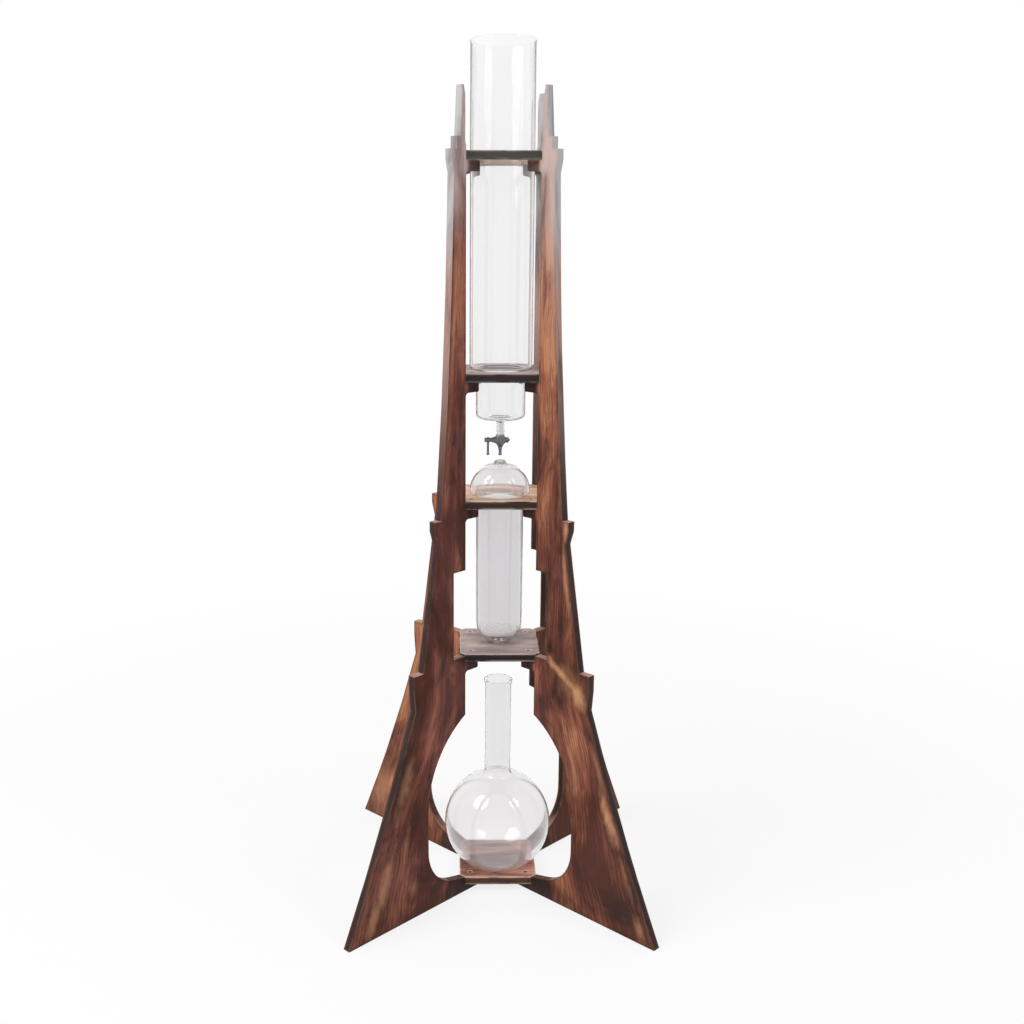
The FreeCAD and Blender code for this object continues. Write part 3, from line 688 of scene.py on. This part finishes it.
# %% Shelf materials
lying = (0, -90, -90)         # turns X, Y, Z into along, across and through the board
pale_stain = {"Dark": (0.42, 0.23, 0.14), "Plum": (0.44, 0.26, 0.19),
              "Mid": (0.80, 0.55, 0.38), "Pale": (0.90, 0.72, 0.56)}
grey_stain = {"Dark": (0.23, 0.16, 0.15), "Plum": (0.26, 0.18, 0.18),
              "Mid": (0.45, 0.35, 0.33), "Pale": (0.72, 0.60, 0.54)}
red_stain = {"Dark": (0.13, 0.045, 0.028), "Plum": (0.15, 0.05, 0.04),
             "Mid": (0.46, 0.21, 0.15), "Pale": (0.84, 0.54, 0.40)}
cold_char = (0.044, 0.047, 0.048)
shelf_looks = {               # shift, pale wood, soot, char on the edges, stain, and what else is set
    "top_shelf": ((0.2, 5.0, 0.4), 0.6, 0.3, 0.97, pale_stain, {"char": cold_char, "screws": 0.6}),
    "vessel_shelf": ((0.9, 6.0, 1.3), 0.5, 0.4, 0.97, grey_stain, {"screws": 0.6}),
    "chamber_shelf": ((1.9, 7.0, 2.2), 0.7, 0.12, 0.97, pale_stain, {"wear": 0.7, "screws": 0.5}),
    "drip_shelf": ((2.7, 8.0, 3.4), 0.5, 0.25, 0.97, grey_stain, {"wear": 0.9, "screws": 0.9}),
    "flask_shelf": ((3.8, 9.0, 4.1), 0.4, 0.25, 0.85, red_stain, {"wear": 1.0, "screws": 0.5}),
}
shelf_wood = {shelf: wood("pine_" + shelf, lying, *look, **more)
              for shelf, (*look, more) in shelf_looks.items()}
print("shelf materials:", len(shelf_wood))

# %% [markdown]
# ## The boards
#
# Sawn boards never keep a knife edge: sandpaper takes it off, and the small round is what catches the
# light.  The frame's boards have sharp corners, so each is copied, its loose triangles are merged and
# joined into flat faces again, and every corner sharper than thirty degrees is bevelled.  A live Bevel
# modifier could do the last step, but it stumbles over the thin triangles, which are gone by then.

# %% Eased boards
edge_ease = 0.0008
flat_angle = math.radians(1.0)     # faces that differ by less than this are one face
corner_angle = math.radians(30)    # edges sharper than this are eased


def eased_board(node, material):
    """A copy of a CAD board with its sharp corners eased."""
    board = bmesh.new()
    board.from_mesh(nodes[node].data)
    bmesh.ops.remove_doubles(board, verts=board.verts, dist=weld)
    bmesh.ops.dissolve_limit(board, angle_limit=flat_angle, verts=board.verts, edges=board.edges)
    sharp = [edge for edge in board.edges
             if len(edge.link_faces) == 2 and edge.calc_face_angle(0) > corner_angle]
    bmesh.ops.bevel(board, geom=sharp, offset=edge_ease, offset_type="OFFSET", affect="EDGES", segments=2,
                    profile=0.5, material=-1, clamp_overlap=True)
    piece = to_object(node + "_eased", board)
    dress(piece, material, sharp_from=32)
    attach(piece, "frame")
    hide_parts(node)
    print(piece.name, len(piece.data.polygons), "faces")


for place, material in leg_wood.items():
    eased_board("leg_" + place, material)
for shelf, material in shelf_wood.items():
    eased_board(shelf, material)

# %% [markdown]
# ## Glass: drawing a profile
#
# Laboratory glass is blown and turned, so each vessel is half an outline swept once round the tower's
# axis.  A pen of two moves draws the outline: straight to a point, or a swing about a centre.  Drawing
# both the outer and the inner side gives a real wall, which glass needs to bend light in the right way;
# the Solidify modifier would give one too, but with the same thickness at the floor, the rim and the stem.

# %% Profile pen
swing_step = math.radians(9)


def draw_profile(start, moves):
    """Mesh edges in the XZ plane, in millimetres.  A move is (r, z) for a straight line, or
    (centre_r, centre_z, degrees) for a swing about that centre, clockwise when positive."""
    drawing = bmesh.new()
    tip = drawing.verts.new((start[0] * MM, 0, start[1] * MM))
    for move in moves:
        if len(move) == 2:
            tip = bmesh.ops.extrude_vert_indiv(drawing, verts=[tip])["verts"][0]
            tip.co = (move[0] * MM, 0, move[1] * MM)
        else:
            turn = math.radians(move[2])
            steps = max(2, round(abs(turn) / swing_step))
            swung = bmesh.ops.spin(drawing, geom=[tip], cent=(move[0] * MM, 0, move[1] * MM),
                                   axis=(0, 1, 0), angle=turn, steps=steps)
            tip = [spot for spot in swung["geom_last"] if isinstance(spot, bmesh.types.BMVert)][0]
    return drawing


def turn_piece(name, drawing, material, body, node, steps=96):
    """Spins a closed profile round the tower's axis and stands the piece in for its CAD node."""
    bmesh.ops.remove_doubles(drawing, verts=drawing.verts, dist=weld)
    bmesh.ops.spin(drawing, geom=drawing.verts[:] + drawing.edges[:], axis=(0, 0, 1),
                   angle=2 * math.pi, steps=steps, use_merge=True)
    bmesh.ops.remove_doubles(drawing, verts=drawing.verts, dist=weld)
    bmesh.ops.recalc_face_normals(drawing, faces=drawing.faces)
    piece = to_object(name, drawing)
    dress(piece, material, sharp_from=40)
    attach(piece, body)
    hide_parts(node)
    print(name, len(piece.data.polygons), "faces")


print("profile pen ready")

# %% [markdown]
# ## Smudges
#
# Glass and metal that are handled are never evenly polished.  Soft blots of a slightly duller polish are
# enough; they show only where a highlight crosses them.

# %% Smudge group
blot_edge = (0.45, 0.72)      # noise between which a blot comes in
wave_stretch = 0.35           # how much slower the waves change upwards than round the piece
smudge, ins, outs = new_group("handling_smudges", "Scale, Polish, Dull", "Roughness, Wave")
where = object_place(smudge)
blots = add_node(smudge, "TexNoise", Vector=where, Scale=ins["Scale"], Detail=4.0, Roughness=0.62)
blots = add_range(blots.outputs["Fac"], *blot_edge)
spread = times(blots, minus(ins["Dull"], ins["Polish"]))
feed(outs["Roughness"], plus(ins["Polish"], spread))
slow = add_node(smudge, "Mapping", Vector=where, Scale=(1.0, 1.0, wave_stretch))
wave = add_node(smudge, "TexNoise", Vector=slow.outputs["Vector"], Scale=26.0, Detail=1.0)
feed(outs["Wave"], wave.outputs["Fac"])
print("smudge group ready")

# %% [markdown]
# ## Glass: the material
#
# Clear glass in front of white is seen mostly by its edges, where the wall is looked at on the slant and
# swallows more light.  A base colour that changes at grazing angles does that, driven by Layer Weight, and
# a faint waviness in the normal gives away that the tube was drawn from molten glass.  A path tracer finds
# little of the light that glass bends on to what stands behind it, so rays from lamps and between matt
# surfaces pass straight through: a Transparent shader is mixed in for them alone.  A clarity below one is
# the faint milky film that washing leaves.  A piece can have another tint above some height: the brew tube
# is greyer below the shelf that holds it than at its rim, and the flask's neck is greyer than its ball.
# Laboratory glass has an index of 1.47; with white on every side that draws heavy outlines, so the index here
# is lower.

# %% Glass materials
glass_ior = 1.38
slant_from = (0.25, 1.0)      # Layer Weight between which the body's tint gives way to the edge's
smudge_dullness = 0.035       # how much rougher a smudge is than the glass round it
tint_fade = 0.004             # metres in which the upper tint takes over
lamp_tint = (0.98, 0.98, 0.98)
clean_tint = (0.96, 0.95, 0.955)
neck_from = 0.160


def clear_glass(name, body_tint, edge_tint, clarity, polish=0.0, upper=None):
    """Glass with one tint face on and one on the slant.  Upper is (height, the tint above it)."""
    material, tree, surface = new_material(name)
    marks = use_group(tree, smudge, Scale=38.0, Polish=polish, Dull=polish + smudge_dullness)
    slant = add_node(tree, "LayerWeight", Blend=0.35).outputs["Facing"]
    tint = add_mix(add_range(slant, *slant_from), body_tint, edge_tint)
    if upper:
        upper_from, upper_tint = upper
        is_upper = add_range(one_axis(object_place(tree), "Z"), upper_from - tint_fade, upper_from)
        tint = add_mix(is_upper, tint, upper_tint)
    shader = main_shader(tree, tint, marks["Roughness"], marks["Wave"], 0.12, depth=0.0012)
    shader.inputs["Transmission Weight"].default_value = clarity
    shader.inputs["IOR"].default_value = glass_ior
    path = add_node(tree, "LightPath").outputs
    passing = larger(path["Is Shadow Ray"], path["Is Diffuse Ray"])
    see_through = add_node(tree, "BsdfTransparent", Color=lamp_tint)
    blend = mix_shaders(passing, shader, see_through)
    feed(surface, blend.outputs[0])
    return material


vessel_glass = clear_glass("vessel_glass", (0.945, 0.945, 0.95), (0.90, 0.89, 0.90), 0.96)
# The dome's face-on tint is the glass's own grey and partly a painted reflection of the wood round it.
dome_glass = clear_glass("dome_glass", (0.91, 0.895, 0.905), (0.955, 0.945, 0.96), 0.90, polish=0.04)
chamber_glass = clear_glass("chamber_glass", (0.82, 0.81, 0.82), (0.92, 0.915, 0.92), 0.93,
                            upper=(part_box("chamber_shelf")[0].z, clean_tint))
flask_glass = clear_glass("flask_glass", clean_tint, (0.90, 0.88, 0.88), 0.92,
                          polish=0.05, upper=(neck_from, (0.92, 0.92, 0.925)))
print("four glass materials")

# %% [markdown]
# ## The water vessel
#
# A wide open tube that stands on its shoulder in the vessel shelf, with a narrower cup, a shallow cone and
# a stem below.  The outline starts at the rim, runs down the outside and comes back up the inside.

# %% Water vessel
vessel_low, vessel_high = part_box("water_vessel")
rim_z = vessel_high.z / MM
stem_end_z = vessel_low.z / MM
bead_r = vessel_high.x / MM
vessel_r = 40.2
cup_r = 32.0
stem_r = 5.7
bore_r = 4.0
wall = 2.3
shoulder_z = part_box("vessel_shelf")[1].z / MM
cone_z = 647.5
stem_root_z = 645.0
lip = 1.5                     # radii of the swings: the rim's, also at the inner shoulder
bend, inner_bend = 4, 2.5     # of the shoulder
nook = 0.8                    # between shoulder and cup
heel, inner_heel = 7, 5       # at the foot of the cup
flare = 3                     # at the root of the stem

cavity_r = vessel_r - wall
cup_cavity_r = cup_r - wall
shoulder_top_z = shoulder_z + wall
cone_top_z = cone_z + wall
outline = draw_profile((bead_r - lip, rim_z), [
    (bead_r - lip, rim_z - lip, 90),
    (bead_r, rim_z - 2.6),
    (vessel_r, rim_z - 5.2),
    (vessel_r, shoulder_z + bend),
    (vessel_r - bend, shoulder_z + bend, 90),
    (cup_r + nook, shoulder_z),
    (cup_r + nook, shoulder_z - nook, -90),
    (cup_r, cone_z + heel),
    (cup_r - heel, cone_z + heel, 90),
    (stem_r + flare, stem_root_z),
    (stem_r + flare, stem_root_z - flare, -90),
    (stem_r, stem_end_z),
    (bore_r, stem_end_z),
    (bore_r, stem_root_z + wall - 0.5),
    (bore_r + 0.7, stem_root_z + wall + 0.1),
    (cup_cavity_r - inner_heel, cone_top_z),
    (cup_cavity_r - inner_heel, cone_top_z + inner_heel, -90),
    (cup_cavity_r, shoulder_top_z - lip),
    (cup_cavity_r + lip, shoulder_top_z - lip, 90),
    (cavity_r - inner_bend, shoulder_top_z),
    (cavity_r - inner_bend, shoulder_top_z + inner_bend, -90),
    (cavity_r, rim_z - lip),
    (cavity_r + lip, rim_z - lip, 90),
    (bead_r - lip, rim_z),
])
turn_piece("water_vessel_blown", outline, vessel_glass, "water_column", "water_vessel", 128)

# %% [markdown]
# ## The dome
#
# A shell with a plain foot and a low boss where the drip enters.  Its curve is not one circle: it is
# steep at the foot and flat at the crown, so two swings with different centres are joined.

# %% Dome
def swing_through(start, middle, end):
    """The move that swings from start through middle to end: (centre_r, centre_z, degrees)."""
    (ax, az), (bx, bz), (cx, cz) = start, middle, end
    twice_area = 2 * (ax * (bz - cz) + bx * (cz - az) + cx * (az - bz))
    a2, b2, c2 = ax * ax + az * az, bx * bx + bz * bz, cx * cx + cz * cz
    centre_r = (a2 * (bz - cz) + b2 * (cz - az) + c2 * (az - bz)) / twice_area
    centre_z = (a2 * (cx - bx) + b2 * (ax - cx) + c2 * (bx - ax)) / twice_area
    from_angle = math.atan2(az - centre_z, ax - centre_r)
    to_angle = math.atan2(cz - centre_z, cx - centre_r)
    turn = (from_angle - to_angle) % (2 * math.pi)
    if twice_area > 0:
        turn -= 2 * math.pi
    return centre_r, centre_z, math.degrees(turn)


dome_foot_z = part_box("chamber_shelf")[1].z / MM
dome_r = 39.5
crown_z = dome_foot_z + 37.0
boss_z = dome_foot_z + 44.0
hole_r = 2.6
outer_foot = (dome_r, dome_foot_z)
outer_side = (28.0, dome_foot_z + 29.5)
outer_crown = (10.5, crown_z)
boss_root = (8.4, crown_z + 2.4)
boss_lip = (3.2, boss_z - 0.05)
inner_hole = (hole_r, crown_z - 2.2)
inner_side = (26.4, dome_foot_z + 27.8)
inner_foot = (dome_r - 2.2, dome_foot_z + 0.8)
outline = draw_profile(outer_foot, [
    swing_through(outer_foot, (36.6, dome_foot_z + 17.5), outer_side),
    swing_through(outer_side, (20.5, dome_foot_z + 35.4), outer_crown),
    swing_through(outer_crown, (8.9, crown_z + 0.6), boss_root),
    swing_through(boss_root, (6.8, boss_z - 1.3), boss_lip),
    (hole_r, boss_z - 0.6),
    inner_hole,
    swing_through(inner_hole, (18.9, dome_foot_z + 33.4), inner_side),
    swing_through(inner_side, (34.4, dome_foot_z + 16.7), inner_foot),
    (dome_r - 1.4, dome_foot_z),
    outer_foot,
])
turn_piece("dome_blown", outline, dome_glass, "dome", "dome_cover")

# %% [markdown]
# ## The brew chamber
#
# A straight tube whose round bottom narrows to a drip nipple.  The bottom is one swing about the centre
# of the ball that it is part of, and the nipple starts where that ball is as narrow as the nipple.

# %% Brew chamber
chamber_r = 31.0
chamber_inner_r = chamber_r - wall
ball_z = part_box("drip_shelf")[1].z / MM + 29.0
chamber_rim_z = dome_foot_z + 5.0
nipple_r = 8.0
nipple_tip_r = 4.7
nipple_bore_r = 3.0
nipple_low_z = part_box("drip_shelf")[0].z / MM
nipple_tip_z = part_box("brew_chamber")[0].z / MM
outer_sweep = math.degrees(math.acos(nipple_r / chamber_r))
inner_sweep = math.degrees(math.acos(nipple_bore_r / chamber_inner_r))
outline = draw_profile((chamber_inner_r, chamber_rim_z), [
    (chamber_r - wall / 2, chamber_rim_z, 180),
    (chamber_r, ball_z),
    (0, ball_z, outer_sweep),
    (nipple_r, nipple_low_z),
    (nipple_tip_r + 0.6, nipple_tip_z + 0.5),
    (nipple_tip_r, nipple_tip_z),
    (nipple_bore_r, nipple_tip_z),
    (nipple_bore_r, ball_z - chamber_inner_r * math.sin(math.radians(inner_sweep))),
    (0, ball_z, -inner_sweep),
    (chamber_inner_r, chamber_rim_z),
])
turn_piece("brew_chamber_blown", outline, chamber_glass, "chamber", "brew_chamber")

# %% [markdown]
# ## The flask
#
# A ball on a flat bottom with a long neck.  Where ball and neck meet, and where the ball meets its flat,
# a small circle touches both; its centre lies at the sum or the difference of the radii from the ball's
# centre, and that gives the angles at which one swing hands over to the next.

# %% Flask
flask_floor_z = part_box("coffee_flask")[0].z / MM
flask_rim_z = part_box("coffee_flask")[1].z / MM
bulb_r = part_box("coffee_flask")[1].x / MM
bulb_z = flask_floor_z + 60.0
neck_r = 18.2
flask_wall = 2.0
foot_round = 6.0
fillet = 9.0
flask_bead = 1.2              # how far the rim stands out, and the radius of its inner round
flask_lip = 1.4
heel_drop = bulb_z - flask_floor_z - foot_round
heel_r = math.sqrt((bulb_r - foot_round) ** 2 - heel_drop ** 2)
heel_turn = math.degrees(math.atan2(heel_r, heel_drop))


def neck_joint(ball_r, tube_r):
    """Height of the small circle between ball and neck, and its angle from the ball's top."""
    out = tube_r + fillet
    rise = math.sqrt((ball_r + fillet) ** 2 - out ** 2)
    return bulb_z + rise, math.degrees(math.atan2(out, rise))


outer_z, outer_turn = neck_joint(bulb_r, neck_r)
inner_z, inner_turn = neck_joint(bulb_r - flask_wall, neck_r - flask_wall)
neck_inner_r = neck_r - flask_wall
flask_bead_r = neck_r + flask_bead
outline = draw_profile((0, flask_floor_z), [
    (heel_r, flask_floor_z),
    (heel_r, flask_floor_z + foot_round, -heel_turn),
    (0, bulb_z, heel_turn + outer_turn - 180),
    (neck_r + fillet, outer_z, 90 - outer_turn),
    (neck_r, flask_rim_z - 6.5),
    (flask_bead_r, flask_rim_z - 4),
    (flask_bead_r, flask_rim_z - flask_lip),
    (flask_bead_r - flask_lip, flask_rim_z - flask_lip, -90),
    (neck_inner_r + flask_bead, flask_rim_z),
    (neck_inner_r + flask_bead, flask_rim_z - flask_bead, -90),
    (neck_inner_r, inner_z),
    (neck_inner_r + fillet, inner_z, inner_turn - 90),
    (0, bulb_z, 180 - heel_turn - inner_turn),
    (heel_r, flask_floor_z + foot_round, heel_turn),
    (0, flask_floor_z + flask_wall),
    (0, flask_floor_z),
])
turn_piece("coffee_flask_blown", outline, flask_glass, "flask", "coffee_flask")

# %% [markdown]
# ## Small parts: metal, silicone and ceramic
#
# The valve, the screws, the bung and the filter disc are already exact in the frame, so they keep their
# meshes and only get finishes.  Turned metal shows fine rings round its axis of turning: a wave of very
# narrow bands along that axis, used as a bump, bends the highlight just as the tool marks do.

# %% Metals
bands_per_unit = 3.18         # bands that a wave texture of scale one draws in a metre
tarnish_depth = 0.55          # strength of the tarnish, and how dark it is beside the clean metal


def metal(name, colour, polish, dull, ring_axis, rings_per_metre, bump_strength):
    material, tree, surface = new_material(name)
    marks = use_group(tree, smudge, Scale=160.0, Polish=polish, Dull=dull)
    rings = add_node(tree, "TexWave", {"wave_type": "BANDS", "bands_direction": ring_axis},
                     Vector=object_place(tree), Scale=rings_per_metre / bands_per_unit, Distortion=0.6,
                     Detail=1.0)
    tarnish = add_range(marks["Roughness"], polish, dull, 0.0, tarnish_depth)
    dark = [channel * tarnish_depth for channel in colour]
    shader = main_shader(tree, add_mix(tarnish, colour, dark), marks["Roughness"], rings.outputs["Fac"],
                         bump_strength, depth=0.0001)
    shader.inputs["Metallic"].default_value = 1.0
    feed(surface, shader.outputs[0])
    return material


valve_grey = (0.17, 0.17, 0.18)
screw_brown = (0.17, 0.15, 0.14)
upright_metal = metal("valve_upright", valve_grey, 0.26, 0.42, "Z", 2400.0, 0.25)
cross_metal = metal("valve_cross", valve_grey, 0.26, 0.42, "X", 2400.0, 0.25)
screw_metal = metal("screw_worn", screw_brown, 0.34, 0.55, "Z", 1500.0, 0.15)
print("three metals")

# %% Silicone and ceramic
silicone_polish = (0.38, 0.55)
silicone, tree, surface = new_material("silicone_white")
marks = use_group(tree, smudge, Scale=120.0, Polish=silicone_polish[0], Dull=silicone_polish[1])
cloud = add_range(marks["Roughness"], *silicone_polish)
colour = add_mix(cloud, (0.84, 0.84, 0.82), (0.72, 0.72, 0.70))
shader = main_shader(tree, colour, marks["Roughness"])
feed(surface, shader.outputs[0])

ceramic, tree, surface = new_material("unglazed_ceramic")
grit = add_node(tree, "TexNoise", Vector=object_place(tree), Scale=900.0, Detail=4.0, Roughness=0.7)
grit = grit.outputs["Fac"]
colour = add_mix(add_range(grit, 0.58, 0.72), (0.76, 0.75, 0.74), (0.62, 0.60, 0.57))
shader = main_shader(tree, colour, add_range(grit, 0.3, 0.7, 0.62, 0.82), grit, 0.4, depth=0.0003)
feed(surface, shader.outputs[0])

finishes = {
    "stem_bung": (silicone, "silicone"),
    "filter_disc": (ceramic, "filter_ceramic"),
    "valve_body": (upright_metal, "valve_metal"),
    "valve_lever": (upright_metal, "valve_metal"),
    "valve_plug": (cross_metal, "valve_metal"),
    "valve_washer": (cross_metal, "valve_metal"),
    "valve_nut": (cross_metal, "valve_metal"),
}
for shelf in shelf_wood:
    finishes[shelf + "_screws"] = (screw_metal, "screw_steel")
for node, (material, slot) in finishes.items():
    nodes[node].data.materials.clear()
    nodes[node].data.materials.append(material)
    nodes[node].material_slots[0].link = "OBJECT"
    nodes[node].material_slots[0].material = material
print("finished nodes:", len(finishes))
